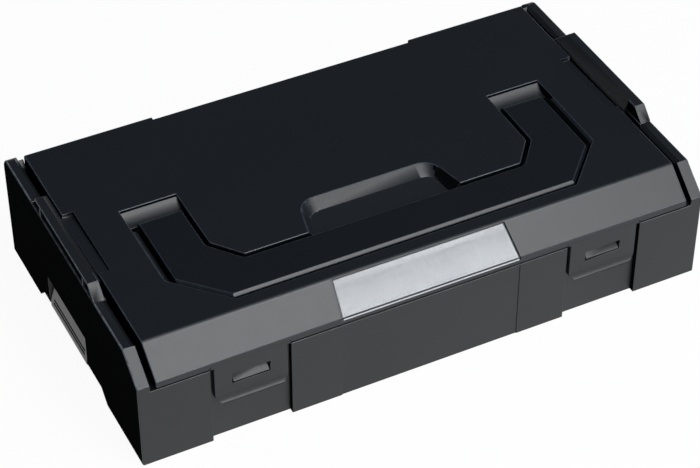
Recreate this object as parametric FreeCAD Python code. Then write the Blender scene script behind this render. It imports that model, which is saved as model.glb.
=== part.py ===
"""Compartment storage box: hinged lid with a fold-flat handle, front latches and stacking clips.

Millimetres. +X runs along the box, +Y to the rear (hinge side), +Z up. The origin lies on the
ground under the middle of the box. One STEP file per piece is written to parts/.
"""
import FreeCAD, Part
import math
import os

# Overall box
box_width = 260.0
box_depth = 146.0
wall = 2.2
edge_round = 0.5
cut_overrun = 1.0
plane_tolerance = 0.001

# Base tray
parting_height = 39.2
floor_thickness = 2.2
rail_width = 5.5
rail_below_lid = 1.0
rail_chamfer_drop = 10.8
rail_chamfer_run = 13.3
rail_rear_round = 5.5
end_rear_reach = 0.5
end_edge_round = 0.8
rail_inner_bevel = 1.6
groove_stop_drop = 0.6
groove_stop_inset = 0.5
groove_stop_run = 2.6
groove_stop_rise = 3.2
groove_stop_foot = 3.0
end_hollow_width = 5.8
rear_flange_reach = 4.4
rear_flange_height = 2.2
front_panel_half_share = 0.3154
front_panel_set_back = 0.3
front_panel_drop = 0.3

# Stacking rib on each rail, with the slots that a clip of the next box hooks into
stack_rib_centre = 4.9
stack_rib_length = 70.6
stack_rib_rise = 5.6
stack_rib_inset = 0.5
stack_rib_slope = 6.1
stack_slot_depth = 2.0
stack_slot_edge = 0.9
stack_slot_tie = 0.9
stack_end_slot = 6.0

# Sloping guide on the inner side of the stacking rib
guide_front_margin = 5.3
guide_top_width = 3.8
guide_lid_gap = 0.4
guide_foot = 2.6

# Notch under each end, which takes the stacking rib of the box below
stack_notch_height = 5.8
stack_notch_rear_play = 0.5
stack_notch_front_play = 5.5

# Stacking clip
clip_offset = 1.6
clip_slot_play = 2.7
clip_end_play = 0.6
clip_pivot_height = 18.6
clip_pivot_inset = 3.85
clip_barrel_radius = 1.6
clip_barrel_play = 0.3
clip_thickness = 1.8
clip_bottom = 4.8
clip_lip_height = 1.6
clip_hook_reach = 0.8
clip_groove_width = 0.7
clip_groove_depth = 0.4
clip_groove_height = 1.6
clip_groove_pitch = 1.7
clip_corner_cut = 3.0
clip_pin_radius = 1.0
clip_pin_hold = 4.0

# Running and seated fits of the pins
running_clearance = 0.05
seated_clearance = 0.02

# Lid
lid_side_gap = 2.5
lid_rise = 14.8
parting_gap = 0.7
lip_height = 3.0
chamfer_run = 13.1
chamfer_top_round = 3.0
lip_round = 0.8
lid_rear_round = 1.2
lid_rear_inset = 1.8
lid_rear_notch_half_share = 0.5164
lid_rear_notch_depth = 2.25
side_pocket_width = 5.0
side_pocket_length = 40.0
side_pocket_margin = 15.7
side_pocket_depth = 2.0
side_pocket_front_depth = 1.1

# Handle recess in the lid
recess_wall = 1.8
recess_floor_gap = 0.6
recess_half_share = 0.818
recess_length = 69.8
recess_front_margin = 6.1
recess_corner_run = 21.3
recess_corner_rise = 22.4
recess_corner_round = 1.5
recess_edge_round = 0.4
arm_bay_width = 25.4
bar_bay_width = 22.8
panel_corner_run = 10.0
panel_corner_rise = 12.5
panel_corner_round = 1.5
ramp_length = 8.0
ramp_drop = 0.6
ramp_foot_rise = 3.0
ramp_hollow = 0.7
ramp_groove_width = 0.6
ramp_groove_depth = 0.8
moat_pin_gap = 0.7
moat_rear_depth = 4.2
moat_high_share = 0.62
moat_high_drop_share = 0.12
moat_low_share = 0.28
moat_low_drop_share = 0.42
moat_front_sill = 0.5
moat_play = 0.5

# Finger scoop behind the handle's crossbar
scoop_length = 19.6
scoop_rear_half = 31.0
scoop_front_half = 36.0
scoop_depth = 3.45
scoop_rear_run = 5.6
scoop_side_run = 3.0
scoop_corner_round = 9.0
scoop_floor_round = 6.5
scoop_floor_fall = 2.2

# Carry handle
moat_width = 4.1
handle_corner_gap = 1.2
handle_front_gap = 1.9
handle_inner_gap = 2.0
handle_corner_round = 1.5
handle_thickness = 5.2
handle_bevel = 1.15
handle_corner_bevel = 1.0
handle_edge_round = 0.5
handle_pivot_inset = 11.8
handle_barrel_radius = 3.2
handle_undercut_half = 30.0
handle_undercut_depth = 3.6
handle_undercut_height = 2.4
handle_pin_radius = 1.5
handle_pin_arm_share = 0.4
handle_pin_in_lid = 3.4
handle_boss_floor = 1.2
handle_boss_margin = 2.4

# Front latches
latch_place_share = 0.6262
latch_recess_width = 35.2
latch_recess_set_back = 2.4
latch_slot = 1.55
latch_root_play = 0.15
latch_back_play = 0.3
latch_axis_rise = 0.7
latch_root_drop = 0.5
latch_length = 19.7
latch_corner_round = 4.0
latch_flare = 1.3
latch_flare_height = 1.65
latch_flare_lip = 0.45
latch_flare_round = 3.7
latch_window_width = 16.6
latch_window_rise = 8.2
latch_window_height = 5.0
catch_side_play = 0.4
catch_under_play = 0.6
catch_nose = 0.4
catch_slope_height = 2.2

# Label in the front chamfer
label_low_half_share = 0.316
label_high_half_share = 0.3038
label_top_margin = 1.05
label_fold = 1.15
label_card_margin = 0.55
label_card_side = 0.7
label_sink = 0.1
label_play = 0.35
label_card_thickness = 0.3
label_window_thickness = 0.5

# Lid hinge at the rear
hinge_place_share = 0.6923
hinge_axis_rise = 4.8
hinge_barrel_radius = 3.5
hinge_ear_width = 6.0
hinge_knuckle_width = 27.2
hinge_side_play = 0.4
hinge_swing_play = 0.4
hinge_ear_foot = 4.0
hinge_pin_radius = 1.5

# Bins inside the tray
bin_columns = 4
bin_rows = 3
bin_play = 0.5
bin_spacing = 0.6
bin_top_gap = 3.0
bin_wall = 1.2
bin_floor = 1.4
bin_corner_round = 4.0
bin_foot_share = 0.8

# Places of the tray worked out from the sizes above
half_width = box_width / 2
front = -box_depth / 2
rear = box_depth / 2
lid_top = parting_height + lid_rise
rail_top = lid_top - rail_below_lid
rail_inner = half_width - rail_width
rail_chamfer_low = rail_top - rail_chamfer_drop
end_inner = half_width - wall
hollow_inner = rail_inner - end_hollow_width
cavity_half = hollow_inner - wall
latch_recess_face = front + latch_recess_set_back
cavity_front = latch_recess_face + wall
cavity_rear = rear - wall
end_rear = rear + end_rear_reach
rear_flange_front = cavity_rear - rear_flange_reach
front_panel_half = half_width * front_panel_half_share
stack_rib_top = rail_top + stack_rib_rise
stack_rib_front = stack_rib_centre - stack_rib_length / 2
stack_rib_rear = stack_rib_centre + stack_rib_length / 2
stack_slot_front = stack_rib_front + stack_rib_slope + stack_end_slot
stack_slot_rear = stack_rib_rear - stack_rib_slope - stack_end_slot
guide_front = stack_rib_front + stack_rib_slope + guide_front_margin

# Places of the stacking clips
clip_pivot = half_width - clip_pivot_inset
clip_length = stack_slot_rear - stack_slot_front - clip_slot_play * 2
clip_front = stack_rib_centre + clip_offset - clip_length / 2
clip_rear = clip_front + clip_length
clip_hold_front = clip_front - clip_end_play - clip_pin_hold - wall
clip_hold_rear = clip_rear + clip_end_play + clip_pin_hold + wall

# Places of the lid, its recess and the handle
lid_half_width = rail_inner - lid_side_gap
lid_bottom = parting_height + parting_gap
lip_top = lid_bottom + lip_height
chamfer_top = front + chamfer_run
hinge_axis_y = rear + latch_flare - hinge_barrel_radius
hinge_axis_height = parting_height + hinge_axis_rise
lid_rear = hinge_axis_y - lid_rear_inset
lid_rear_notch_half = lid_half_width * lid_rear_notch_half_share
side_pocket_rear = stack_rib_rear - side_pocket_margin
side_pocket_front = side_pocket_rear - side_pocket_length
recess_depth = handle_barrel_radius * 2 + recess_floor_gap
recess_floor = lid_top - recess_depth
recess_half = lid_half_width * recess_half_share
recess_front = chamfer_top + recess_front_margin
recess_rear = recess_front + recess_length
panel_half = recess_half - arm_bay_width
panel_front = recess_front + bar_bay_width
scoop_rear = panel_front + scoop_length
handle_half = recess_half - moat_width
handle_front = recess_front + handle_front_gap
handle_bottom = lid_top - handle_thickness
handle_pivot_y = recess_rear - handle_pivot_inset
handle_pivot_height = lid_top - handle_barrel_radius
arm_inner = panel_half + handle_inner_gap
handle_pin_in_arm = (handle_half - arm_inner) * handle_pin_arm_share
label_low_half = half_width * label_low_half_share
label_high_half = half_width * label_high_half_share
chamfer_length = math.hypot(chamfer_run, lid_top - lip_top)
label_top = chamfer_length - label_top_margin
label_recess_depth = label_card_thickness + label_window_thickness + label_sink

# Places of the latches and their catches
latch_middle = half_width * latch_place_share
latch_recess_inner = latch_middle - latch_recess_width / 2
latch_recess_outer = latch_middle + latch_recess_width / 2
latch_inner_face = latch_recess_face - latch_back_play
latch_thickness = latch_inner_face - front
latch_axis_y = front + latch_thickness / 2
latch_axis_height = lid_bottom + latch_axis_rise
latch_root_bottom = lid_bottom - latch_root_drop
latch_bottom = lid_bottom - latch_length
latch_window_low = latch_bottom + latch_window_rise
catch_bottom = latch_window_low + catch_under_play

# Places of the hinge lugs and barrels
hinge_half_length = hinge_knuckle_width / 2 + hinge_side_play + hinge_ear_width
hinge_inner = half_width * hinge_place_share - hinge_half_length
hinge_outer = hinge_inner + hinge_half_length * 2
hinge_knuckle_start = hinge_inner + hinge_ear_width + hinge_side_play
hinge_outer_ear = hinge_outer - hinge_ear_width


def vec(x, y, z):
    """Point or direction in space."""
    return FreeCAD.Vector(x, y, z)


def block(x0, x1, y0, y1, z0, z1):
    """Box between two corners."""
    return Part.makeBox(x1 - x0, y1 - y0, z1 - z0, vec(x0, y0, z0))


def rod_x(x0, x1, y, z, radius):
    """Round bar along X."""
    return Part.makeCylinder(radius, x1 - x0, vec(x0, y, z), vec(1, 0, 0))


def rod_y(y0, y1, x, z, radius):
    """Round bar along Y."""
    return Part.makeCylinder(radius, y1 - y0, vec(x, y0, z), vec(0, 1, 0))


def mirrored(shape):
    """Copy of a shape on the other side of the box's middle plane."""
    return shape.mirror(vec(0, 0, 0), vec(1, 0, 0))


def both_sides(shape):
    """A right-hand shape and its left-hand twin."""
    return [shape, mirrored(shape)]


def fused(shapes):
    """One solid from several that touch or overlap."""
    return shapes[0].multiFuse(shapes[1:]).removeSplitter()


def without(shape, tools):
    """A shape less several cutting shapes."""
    return shape.cut(tools).removeSplitter()


def corner_arc(corners, index):
    """Start, middle and end of the arc that rounds one (a, b, radius) corner of an outline."""
    here = vec(corners[index][0], corners[index][1], 0)
    before = corners[index - 1]
    after = corners[(index + 1) % len(corners)]
    to_before = (vec(before[0], before[1], 0) - here).normalize()
    to_after = (vec(after[0], after[1], 0) - here).normalize()
    half_angle = to_before.getAngle(to_after) / 2
    radius = corners[index][2]
    along = radius / math.tan(half_angle)
    inward = (to_before + to_after).normalize() * (radius / math.sin(half_angle) - radius)
    return here + to_before * along, here + inward, here + to_after * along


def outline_face(corners, place):
    """Flat face inside an outline of (a, b, radius) corners; place puts (a, b) in space."""
    arcs = [corner_arc(corners, index) for index in range(len(corners))]
    edges = []
    for index, (start, middle, end) in enumerate(arcs):
        if corners[index][2] > 0:
            points = [place(point.x, point.y) for point in (start, middle, end)]
            edges.append(Part.Arc(*points).toShape())
        following = arcs[(index + 1) % len(arcs)][0]
        if not end.isEqual(following, plane_tolerance):
            side = Part.LineSegment(place(end.x, end.y), place(following.x, following.y))
            edges.append(side.toShape())
    return Part.Face(Part.Wire(edges))


def prism_x(corners, x0, x1):
    """Bar along X with a (y, z, radius) outline."""
    return outline_face(corners, lambda y, z: vec(x0, y, z)).extrude(vec(x1 - x0, 0, 0))


def prism_y(corners, y0, y1):
    """Bar along Y with an (x, z, radius) outline."""
    return outline_face(corners, lambda x, z: vec(x, y0, z)).extrude(vec(0, y1 - y0, 0))


def prism_z(corners, z0, z1):
    """Upright bar with an (x, y, radius) outline."""
    return outline_face(corners, lambda x, y: vec(x, y, z0)).extrude(vec(0, 0, z1 - z0))


def sharp(points):
    """Outline corners with no rounding."""
    return [(a, b, 0) for a, b in points]


def drawn_in(corners, distance):
    """Outline with every side moved inwards (outwards if negative); corners run anticlockwise."""
    return sides_moved(corners, [distance] * len(corners))


def sides_moved(corners, distances):
    """Outline with each side moved inwards by its own distance; side 0 leaves corner 0."""
    moved = []
    for index, (a, b, radius) in enumerate(corners):
        before = corners[index - 1]
        after = corners[(index + 1) % len(corners)]
        arriving = vec(a - before[0], b - before[1], 0).normalize()
        leaving = vec(after[0] - a, after[1] - b, 0).normalize()
        turn = arriving.x * leaving.y - arriving.y * leaving.x
        last, coming = distances[index - 1], distances[index]
        step_a = (last * leaving.x - coming * arriving.x) / turn
        step_b = (last * leaving.y - coming * arriving.y) / turn
        kept = radius - coming if turn > 0 else radius + coming
        moved.append((a + step_a, b + step_b, max(kept, 0) if radius > 0 else 0))
    return moved


def edges_at(shape, axis, value):
    """Edges of a shape that lie wholly in the plane axis = value."""
    found = []
    for edge in shape.Edges:
        low = getattr(edge.BoundBox, axis + "Min")
        high = getattr(edge.BoundBox, axis + "Max")
        if max(abs(low - value), abs(high - value)) < plane_tolerance:
            found.append(edge)
    return found


def bay(half, front_side, corner_run, corner_rise, rear_side, corner_round):
    """Outline of a plan shape with a straight rear and two cut corners at the front."""
    return [
        (-half, rear_side, 0),
        (-half, front_side + corner_rise, corner_round),
        (-half + corner_run, front_side, corner_round),
        (half - corner_run, front_side, corner_round),
        (half, front_side + corner_rise, corner_round),
        (half, rear_side, 0),
    ]


def end_outline():
    """Side view of the tray's end: upright front, sloping shoulder, rail and round rear corner."""
    return [
        (front, 0, 0),
        (end_rear, 0, 0),
        (end_rear, rail_top, rail_rear_round),
        (front + rail_chamfer_run, rail_top, lip_round),
        (front, rail_chamfer_low, lip_round),
    ]


def tray_end():
    """Right-hand end of the tray: skirt with its rail, hollowed from below, and its stacking rib."""
    skirt = prism_x(end_outline(), rail_inner, half_width)
    skirt = skirt.makeFillet(end_edge_round, edges_at(skirt, "X", half_width))
    hollows = []
    for low, high in ((front + wall, clip_hold_front), (clip_hold_rear, cavity_rear)):
        hollows.append(block(rail_inner - cut_overrun, end_inner, low, high, -cut_overrun, parting_height - wall))
    bevel = sharp([
        (rail_inner - cut_overrun, rail_top - rail_inner_bevel - cut_overrun),
        (rail_inner + rail_inner_bevel + cut_overrun, rail_top + cut_overrun),
        (rail_inner - cut_overrun, rail_top + cut_overrun),
    ])
    for low, high in ((front + rail_chamfer_run, stack_rib_front), (stack_rib_rear, end_rear + cut_overrun)):
        hollows.append(prism_y(bevel, low, high))
    return fused([without(skirt, hollows), groove_stop()] + stack_rib())


def groove_stop():
    """Small ramp on the right-hand rail that closes the rear end of the groove beside the lid."""
    high = rail_top - groove_stop_drop
    low = high - groove_stop_rise
    stop_rear = lid_rear - groove_stop_inset
    side = sharp([
        (stop_rear - groove_stop_run, low - groove_stop_foot),
        (stop_rear, low - groove_stop_foot),
        (stop_rear, high),
        (stop_rear - groove_stop_run, low),
    ])
    return prism_x(side, lid_half_width + guide_lid_gap, rail_inner + rail_inner_bevel)


def stack_rib():
    """Raised part of the right-hand rail, hollowed on its outer side and sloped on its inner side."""
    side = sharp([
        (stack_rib_front, rail_top),
        (stack_rib_rear, rail_top),
        (stack_rib_rear - stack_rib_slope, stack_rib_top),
        (stack_rib_front + stack_rib_slope, stack_rib_top),
    ])
    inner = rail_inner + stack_rib_inset
    rib = prism_x(side, inner, half_width)
    rib = rib.makeFillet(edge_round, edges_at(rib, "Z", stack_rib_top))
    slot_side = sides_moved(side, [0, stack_slot_edge, stack_slot_edge, stack_slot_edge])
    slot_inner = half_width - stack_slot_depth
    slot = prism_x(slot_side, slot_inner, half_width + cut_overrun)
    ties = [block(slot_inner, half_width, low, low + stack_slot_tie, rail_top, stack_rib_top)
            for low in (stack_slot_front - stack_slot_tie, stack_slot_rear)]
    guide_low = lid_half_width + guide_lid_gap
    guide_high = half_width - guide_top_width
    guide = sharp([
        (guide_low, rail_top - guide_foot),
        (guide_high, rail_top - guide_foot),
        (guide_high, stack_rib_top),
        (guide_low, rail_top),
    ])
    above = sharp([
        (guide_low, rail_top),
        (guide_high, stack_rib_top),
        (guide_high, stack_rib_top + cut_overrun),
        (guide_low, stack_rib_top + cut_overrun),
    ])
    reach = sharp([
        (guide_front, rail_top - guide_foot),
        (stack_rib_rear, rail_top - guide_foot),
        (stack_rib_rear, rail_top),
        (stack_rib_rear - stack_rib_slope, stack_rib_top),
        (guide_front, stack_rib_top),
    ])
    rib = without(rib, [without(slot, ties), prism_y(above, guide_front, stack_rib_rear)])
    guide = prism_y(guide, guide_front, stack_rib_rear)
    return [rib, guide.common(prism_x(reach, guide_low, half_width))]


def stack_notch():
    """Space under the right-hand end that clears the stacking rib of the box below."""
    low_front = stack_rib_front - stack_notch_front_play
    low_rear = stack_rib_rear + stack_notch_rear_play
    side = sharp([
        (low_front, 0),
        (low_front, -cut_overrun),
        (low_rear, -cut_overrun),
        (low_rear, 0),
        (low_rear - stack_rib_slope, stack_notch_height),
        (low_front + stack_rib_slope, stack_notch_height),
    ])
    return prism_x(side, rail_inner - cut_overrun, half_width + cut_overrun)


def clip_opening():
    """Window in the right-hand skirt for the stacking clip, with the bores for its pin."""
    window_front = clip_front - clip_end_play
    window_rear = clip_rear + clip_end_play
    top = clip_pivot_height + clip_barrel_radius + clip_barrel_play
    window = block(rail_inner - cut_overrun, half_width + cut_overrun, window_front, window_rear, 0, top)
    bore_front = window_front - clip_pin_hold
    bore_rear = window_rear + clip_pin_hold
    bore_radius = clip_pin_radius + seated_clearance
    return [window, rod_y(bore_front, bore_rear, clip_pivot, clip_pivot_height, bore_radius)]


def catch():
    """Wedge on the tray's front that holds the right-hand latch."""
    half = latch_window_width / 2 - catch_side_play
    side = sharp([
        (latch_recess_face + wall / 2, catch_bottom),
        (latch_recess_face + wall / 2, catch_bottom + catch_nose + catch_slope_height),
        (latch_recess_face, catch_bottom + catch_nose + catch_slope_height),
        (front, catch_bottom + catch_nose),
        (front, catch_bottom),
    ])
    return prism_x(side, latch_middle - half, latch_middle + half)


def hinge_ears():
    """Right-hand pair of bored lugs on the tray's rear wall that carry the lid's hinge pin."""
    reach = hinge_axis_y + hinge_barrel_radius
    foot = parting_height - wall - hinge_ear_foot
    web = sharp([
        (cavity_rear, foot),
        (rear, foot),
        (reach, parting_height - wall),
        (reach, hinge_axis_height),
        (cavity_rear, hinge_axis_height),
    ])
    ears = []
    for start in (hinge_inner, hinge_outer_ear):
        end = start + hinge_ear_width
        barrel = rod_x(start, end, hinge_axis_y, hinge_axis_height, hinge_barrel_radius)
        ears.append(fused([barrel, prism_x(web, start, end)]))
    return ears


def base_tray():
    """Tray with its double ends, latch recesses, catches, stacking features and hinge lugs."""
    body = block(-rail_inner, rail_inner, front, rear, 0, parting_height)
    over = parting_height + cut_overrun
    bay_outer = latch_recess_inner - wall
    side_bay = latch_recess_outer + wall
    hollow_roof = parting_height - wall
    hollow = block(hollow_inner, rail_inner, front + wall, cavity_rear, -cut_overrun, hollow_roof)
    side = block(side_bay, cavity_half, front + wall, cavity_front, floor_thickness, over)
    cuts = [
        block(-cavity_half, cavity_half, cavity_front, cavity_rear, floor_thickness, over),
        block(-bay_outer, bay_outer, front + wall, cavity_front, floor_thickness, over),
    ]
    cuts += both_sides(hollow) + both_sides(side)
    body = without(body, cuts)
    flange = sharp([
        (cavity_rear, parting_height - rear_flange_height - rear_flange_reach),
        (cavity_rear, parting_height),
        (rear_flange_front, parting_height),
        (rear_flange_front, parting_height - rear_flange_height),
    ])
    additions = [prism_x(flange, -cavity_half, cavity_half)]
    additions += both_sides(tray_end())
    body = fused([body] + additions)
    recess = block(latch_recess_inner, latch_recess_outer, front - cut_overrun, latch_recess_face,
                   -cut_overrun, over)
    middle = block(-front_panel_half, front_panel_half, front - cut_overrun,
                   front + front_panel_set_back, -cut_overrun, over)
    top_cut = block(-front_panel_half, front_panel_half, front - cut_overrun, cavity_front,
                    parting_height - front_panel_drop, over)
    cuts = [middle, top_cut] + both_sides(recess) + both_sides(stack_notch())
    for opening in clip_opening():
        cuts += both_sides(opening)
    body = without(body, cuts)
    additions = both_sides(catch())
    for ear in hinge_ears():
        additions += both_sides(ear)
    body = fused([body] + additions)
    bore_radius = hinge_pin_radius + seated_clearance
    bore = rod_x(hinge_inner - cut_overrun, hinge_outer + cut_overrun, hinge_axis_y,
                 hinge_axis_height, bore_radius)
    return without(body, both_sides(bore))


def lid_outline(bottom):
    """Side view of the lid: front lip, sloping front, flat top and round rear edge."""
    return [
        (front, bottom, 0),
        (lid_rear, bottom, 0),
        (lid_rear, lid_top, lid_rear_round),
        (chamfer_top, lid_top, chamfer_top_round),
        (front, lip_top, lip_round),
    ]


def recess_outline():
    """Plan outline of the handle recess."""
    return bay(recess_half, recess_front, recess_corner_run, recess_corner_rise, recess_rear,
               recess_corner_round)


def panel_outline(extra_rear):
    """Plan outline of the lid panel inside the handle's U."""
    return bay(panel_half, panel_front, panel_corner_run, panel_corner_rise,
               recess_rear + extra_rear, panel_corner_round)


def recess_ramp():
    """Hollow-faced ramp at the rear of the handle recess, right-hand side."""
    top_y = recess_rear - ramp_groove_width
    top_z = lid_top - ramp_drop
    foot_y = recess_rear - ramp_length
    foot = vec(panel_half, foot_y, recess_floor + ramp_foot_rise)
    high = vec(panel_half, top_y, top_z)
    chord = high - foot
    sideways = vec(0, chord.z, -chord.y).normalize()
    face_arc = Part.Arc(foot, foot + chord / 2 + sideways * ramp_hollow, high)
    points = [
        high,
        vec(panel_half, top_y, top_z - ramp_groove_depth),
        vec(panel_half, recess_rear, top_z - ramp_groove_depth),
        vec(panel_half, recess_rear, recess_floor),
        vec(panel_half, foot_y, recess_floor),
        foot,
    ]
    wire = Part.Wire([face_arc.toShape()] + Part.makePolygon(points).Edges)
    return Part.Face(wire).extrude(vec(recess_half - panel_half, 0, 0))


def moat_bank():
    """Rounded bank between the right-hand handle arm and the recess's outer wall."""
    inner = handle_half + moat_play
    outer = recess_half + recess_edge_round
    run = outer - inner
    bank_rear = handle_pivot_y - handle_pin_radius - moat_pin_gap
    bank_front = recess_front + recess_corner_rise
    sections = []
    for y, depth in ((bank_rear, moat_rear_depth), (bank_front, recess_depth - moat_front_sill)):
        points = [
            vec(inner, y, recess_floor),
            vec(outer, y, recess_floor),
            vec(outer, y, lid_top),
            vec(inner + run * moat_high_share, y, lid_top - depth * moat_high_drop_share),
            vec(inner + run * moat_low_share, y, lid_top - depth * moat_low_drop_share),
            vec(inner, y, lid_top - depth),
            vec(inner, y, recess_floor),
        ]
        sections.append(Part.makePolygon(points))
    return Part.makeLoft(sections, True, True)


def scoop_outline(share):
    """Plan outline of the finger scoop at a share of the way from its rim (0) to its floor (1)."""
    corners = sharp([
        (-scoop_front_half, panel_front - handle_inner_gap),
        (scoop_front_half, panel_front - handle_inner_gap),
        (scoop_rear_half, scoop_rear),
        (-scoop_rear_half, scoop_rear),
    ])
    side_run = scoop_side_run * share
    moved = sides_moved(corners, [0, side_run, scoop_rear_run * share, side_run])
    radius = scoop_corner_round + (scoop_floor_round - scoop_corner_round) * share
    return moved[:2] + [(x, y, radius) for x, y, _ in moved[2:]]


def finger_scoop():
    """Cutting shape of the scoop: dished rear and sides, and a floor that falls to the front."""
    rim_level = lid_top + cut_overrun
    floor_level = lid_top - scoop_depth
    rim = outline_face(scoop_outline(-cut_overrun / scoop_depth), lambda x, y: vec(x, y, rim_level))
    floor = outline_face(scoop_outline(1), lambda x, y: vec(x, y, floor_level))
    dish = Part.makeLoft([floor.OuterWire, rim.OuterWire], True, True)
    floor_rear = scoop_rear - scoop_rear_run
    floor_front = panel_front - handle_inner_gap
    fall = sharp([
        (floor_rear, floor_level),
        (floor_front, floor_level - scoop_floor_fall),
        (floor_front, floor_level),
    ])
    well = prism_z(scoop_outline(1), floor_level - scoop_floor_fall, floor_level)
    return [dish, well.common(prism_x(fall, -scoop_front_half, scoop_front_half))]


def label_half(rise):
    """Half width of the label field at a place up the sloping front."""
    return label_low_half + (label_high_half - label_low_half) * rise / chamfer_length


def chamfer_plate(low, high, bottom, top, inset):
    """Plate as wide as the label field, placed by its span up the slope and its height off it."""
    plan = sharp([
        (inset - label_half(low), low),
        (label_half(low) - inset, low),
        (label_half(high) - inset, high),
        (inset - label_half(high), high),
    ])
    plate = prism_z(plan, bottom, top)
    slope = math.degrees(math.atan2(lid_top - lip_top, chamfer_run))
    plate.Placement = FreeCAD.Placement(vec(0, front, lip_top), FreeCAD.Rotation(vec(1, 0, 0), slope))
    return plate


def label_layer(outer, inner, inset):
    """Sheet between two depths under the lid's face, over the slope and folded down over the lip."""
    sheet = prism_x(drawn_in(lid_outline(lid_bottom), outer), -half_width, half_width)
    sheet = without(sheet, [prism_x(drawn_in(lid_outline(lid_bottom), inner), -half_width, half_width)])
    half = label_low_half - inset
    fold = block(-half, half, front - cut_overrun, front + wall, lip_top - label_fold + inset, lip_top)
    slope = chamfer_plate(0, label_top - inset, -wall, cut_overrun, inset)
    return sheet.common(fused([slope, fold]))


def lid_knuckle():
    """Right-hand barrel on the lid's rear wall that turns on the hinge pin."""
    end = hinge_knuckle_start + hinge_knuckle_width
    return rod_x(hinge_knuckle_start, end, hinge_axis_y, hinge_axis_height, hinge_barrel_radius)


def ear_clearance(start):
    """Room in the lid's rear wall for one hinge lug of the tray."""
    low = start - hinge_side_play
    high = start + hinge_ear_width + hinge_side_play
    radius = hinge_barrel_radius + hinge_swing_play
    return rod_x(low, high, hinge_axis_y, hinge_axis_height, radius)


def lid_tub():
    """Walls and floors under the lid's top that back its recess, scoop, pockets and rear notch."""
    floor_low = recess_floor - recess_wall
    top = lid_top - wall / 2
    outer = prism_z(drawn_in(recess_outline(), -recess_wall), floor_low, top)
    core = prism_z(drawn_in(panel_outline(cut_overrun + recess_wall), recess_wall),
                   floor_low - cut_overrun, top + cut_overrun)
    scoop_half = scoop_front_half + recess_wall
    scoop_floor = lid_top - scoop_depth - scoop_floor_fall - recess_wall
    scoop_box = block(-scoop_half, scoop_half, panel_front, scoop_rear + recess_wall, scoop_floor, top)
    boss = block(recess_half, recess_half + handle_pin_in_lid + handle_boss_floor,
                 handle_pivot_y - handle_pin_radius - handle_boss_margin,
                 handle_pivot_y + handle_pin_radius + handle_boss_margin, floor_low, top)
    pad = block(lid_half_width - side_pocket_width - wall, lid_half_width - wall / 2,
                side_pocket_front - wall, side_pocket_rear + wall,
                lid_top - side_pocket_depth - wall, top)
    liner = block(-lid_rear_notch_half - wall, lid_rear_notch_half + wall,
                  lid_rear - lid_rear_notch_depth - wall, lid_rear - wall / 2, lid_bottom, top)
    return fused([without(outer, [core]), scoop_box, liner] + both_sides(boss) + both_sides(pad))


def side_pocket():
    """Shallow wedge-shaped pocket in the right-hand edge of the lid's top."""
    side = sharp([
        (side_pocket_front, lid_top - side_pocket_front_depth),
        (side_pocket_rear, lid_top - side_pocket_depth),
        (side_pocket_rear, lid_top + cut_overrun),
        (side_pocket_front, lid_top + cut_overrun),
    ])
    return prism_x(side, lid_half_width - side_pocket_width, lid_half_width + cut_overrun)


def latch_seat():
    """Room in the lid's lip for the right-hand latch's rounded root."""
    radius = latch_thickness / 2 + running_clearance
    below = block(latch_recess_inner, latch_recess_outer, front - cut_overrun,
                  latch_recess_face, lid_bottom - cut_overrun, latch_axis_height)
    socket = rod_x(latch_recess_inner, latch_recess_outer, latch_axis_y, latch_axis_height, radius)
    return [below, socket]


def lid():
    """Lid shell with its handle recess, scoop, label recess, latch seats and hinge barrels."""
    shell = prism_x(lid_outline(lid_bottom), -lid_half_width, lid_half_width)
    shell = shell.makeFillet(edge_round, edges_at(shell, "X", lid_half_width)
                             + edges_at(shell, "X", -lid_half_width))
    inside = drawn_in(lid_outline(lid_bottom - wall - cut_overrun), wall)
    shell = without(shell, [prism_x(inside, wall - lid_half_width, lid_half_width - wall)])
    shell = fused([shell, lid_tub()] + both_sides(lid_knuckle()))
    handle_space = prism_z(recess_outline(), recess_floor, lid_top + cut_overrun)
    panel = prism_z(panel_outline(cut_overrun), recess_floor - cut_overrun, lid_top + cut_overrun)
    shell = without(shell, [handle_space.cut(panel)])
    rims = [edge for edge in edges_at(shell, "Z", lid_top)
            if edge.BoundBox.YMax < recess_rear + edge_round
            and edge.BoundBox.YMin > recess_front - edge_round]
    shell = shell.makeFillet(recess_edge_round, rims)
    shell = fused([shell] + both_sides(recess_ramp()) + both_sides(moat_bank()))
    cuts = finger_scoop() + both_sides(side_pocket())
    cuts.append(label_layer(-cut_overrun, label_recess_depth, 0))
    cuts.append(block(-lid_rear_notch_half, lid_rear_notch_half, lid_rear - lid_rear_notch_depth,
                      lid_rear + cut_overrun, lid_bottom - cut_overrun, lid_top + cut_overrun))
    for seat in latch_seat():
        cuts += both_sides(seat)
    for start in (hinge_inner, hinge_outer_ear):
        cuts += both_sides(ear_clearance(start))
    hinge_bore = rod_x(hinge_inner, hinge_outer, hinge_axis_y, hinge_axis_height,
                       hinge_pin_radius + running_clearance)
    pin_bore = rod_x(recess_half - cut_overrun, recess_half + handle_pin_in_lid, handle_pivot_y,
                     handle_pivot_height, handle_pin_radius + seated_clearance)
    cuts += both_sides(hinge_bore) + both_sides(pin_bore)
    return without(shell, cuts)


def top_bevel(start, end, size):
    """Cutting shape that bevels the handle's top along one side of its outline."""
    along = (vec(end[0], end[1], 0) - vec(start[0], start[1], 0)).normalize()
    inward = vec(-along.y, along.x, 0)
    beyond = size + cut_overrun
    first = vec(start[0], start[1], lid_top) - along * beyond
    last = vec(end[0], end[1], lid_top) + along * beyond
    points = [
        first - inward * cut_overrun + vec(0, 0, -beyond),
        first + inward * beyond + vec(0, 0, cut_overrun),
        first - inward * cut_overrun + vec(0, 0, cut_overrun),
    ]
    return Part.Face(Part.makePolygon(points + points[:1])).extrude(last - first)


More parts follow.
